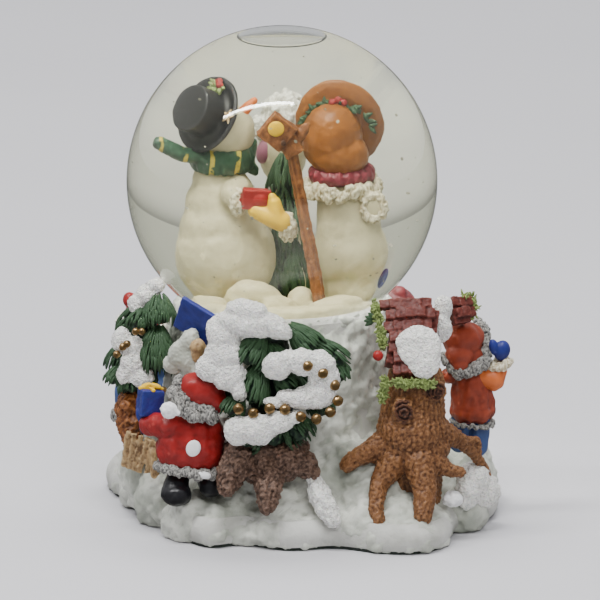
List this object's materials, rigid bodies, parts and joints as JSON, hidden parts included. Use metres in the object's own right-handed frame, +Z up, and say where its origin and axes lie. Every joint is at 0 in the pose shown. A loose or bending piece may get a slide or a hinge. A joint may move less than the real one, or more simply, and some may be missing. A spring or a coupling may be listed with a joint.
{
  "type": "musical snow globe",
  "caption": "Water-filled glass globe with snow figures inside, on a sculpted snow-scene base that houses a key-wound music movement.",
  "frame": {"origin": "on the globe's vertical axis, on the plane that the base's felt ring rests on", "axes": "+Z up, -Y towards the side with the rooted stump and the bead-strung fir, +X to that side's right"},
  "size_m": [0.1318, 0.1251, 0.158],
  "materials": {
    "snow_paint": "off-white painted resin with fine grain",
    "glitter_snow": "white paint with iridescent glitter",
    "felt": "short-pile green felt",
    "clear_glass": "clear blown glass",
    "liquid": "clear, faintly yellow liquid",
    "stopper_rubber": "white moulded rubber",
    "cover_plastic": "off-white moulded plastic",
    "screw_steel": "zinc-plated steel",
    "cream_resin": "cream painted resin",
    "black_paint": "black paint",
    "green_scarf": "green paint with yellow stripes",
    "red_scarf": "dark red paint",
    "fur_paint": "cream fur texture",
    "straw_paint": "orange-brown paint",
    "carrot_paint": "orange paint",
    "mitten_paint": "red and yellow paint",
    "wood_paint": "brown paint with dark wash",
    "tan_paint": "tan paint with dark wash",
    "fir_paint": "dark green paint, needle texture",
    "gold_bead": "gilt beads",
    "blue_paint": "blue paint",
    "brick_paint": "red-brown paint, shingle texture",
    "moss_paint": "green paint, moss texture",
    "red_coat": "red paint",
    "rust_coat": "rust red paint",
    "boot_black": "black paint",
    "denim_paint": "blue paint",
    "zinc_casting": "grey zinc casting",
    "spring_steel": "blued spring steel",
    "bright_steel": "nickel-plated steel",
    "brass_parts": "turned brass",
    "comb_steel": "hardened tooth steel",
    "white_gear": "white acetal"
  },
  "bodies": {
    "globe_and_base": {"glass_globe": "clear_glass", "globe_water": "liquid", "neck_plug": "stopper_rubber", "snow_plate": "cream_resin", "snowman_body": "cream_resin", "snowman_scarf": "green_scarf", "snowman_top_hat": "black_paint", "snowman_nose": "carrot_paint", "snow_lady_body": "cream_resin", "snow_lady_collar": "fur_paint", "snow_lady_scarf": "red_scarf", "straw_bonnet": "straw_paint", "joined_mittens": "mitten_paint", "birdhouse_post": "wood_paint", "birdhouse": "tan_paint", "globe_fir": "fir_paint", "snow_child": "cream_resin", "base_casting": "snow_paint", "snow_banks": "glitter_snow", "felt_ring": "felt", "bottom_cover": "cover_plastic", "base_screws": "screw_steel", "front_tree_trunk": "wood_paint", "front_tree_boughs": "fir_paint", "front_tree_snow": "glitter_snow", "left_tree_trunk": "tan_paint", "left_tree_boughs": "fir_paint", "left_tree_snow": "glitter_snow", "bead_strings": "gold_bead", "blue_board": "blue_paint", "tree_stump": "wood_paint", "shingle_roof": "brick_paint", "roof_snow": "glitter_snow", "roof_garland": "moss_paint", "front_child_legs": "boot_black", "front_child_coat": "red_coat", "front_child_head": "red_coat", "front_child_mitten": "blue_paint", "gift_box": "blue_paint", "right_child_legs": "denim_paint", "right_child_coat": "rust_coat", "right_child_head": "rust_coat", "right_child_mitten": "blue_paint", "back_left_child_body": "blue_paint", "back_left_child_head": "red_coat", "back_right_child_body": "moss_paint", "back_right_child_head": "rust_coat", "movement_bedplate": "zinc_casting", "spring_housing": "bright_steel", "mainspring": "spring_steel", "cylinder_brackets": "bright_steel", "steel_comb": "comb_steel", "comb_screws": "screw_steel", "governor_frame": "bright_steel"},
    "winder": {"winding_key": "bright_steel", "drive_wheel": "brass_parts"},
    "cylinder": {"music_cylinder": "brass_parts"},
    "idler": {"governor_wheel": "white_gear"},
    "fly": {"governor_fly": "brass_parts"}
  },
  "joints": [
    {"name": "key_turn", "type": "hinge", "parent": "globe_and_base", "child": "winder", "pos_m": [-0.012, 0, 0.021], "axis": [0, 0, 1], "range_deg": [-1350, 0]},
    {"name": "cylinder_spin", "type": "hinge", "parent": "globe_and_base", "child": "cylinder", "pos_m": [0.011, 0, 0.0251], "axis": [1, 0, 0], "range_deg": [-4100, 4100]},
    {"name": "idler_spin", "type": "hinge", "parent": "globe_and_base", "child": "idler", "pos_m": [0.02, 0.0081, 0.0251], "axis": [1, 0, 0], "range_deg": [-14300, 14300]},
    {"name": "fly_spin", "type": "hinge", "parent": "globe_and_base", "child": "fly", "pos_m": [0.0219, 0.0127, 0.028], "axis": [0, 0, 1], "range_deg": [-172000, 172000]}
  ],
  "couplings": [
    {"joint": "cylinder_spin", "follows": "key_turn", "ratio": 3},
    {"joint": "idler_spin", "follows": "key_turn", "ratio": -10.5},
    {"joint": "fly_spin", "follows": "key_turn", "ratio": 126}
  ]
}
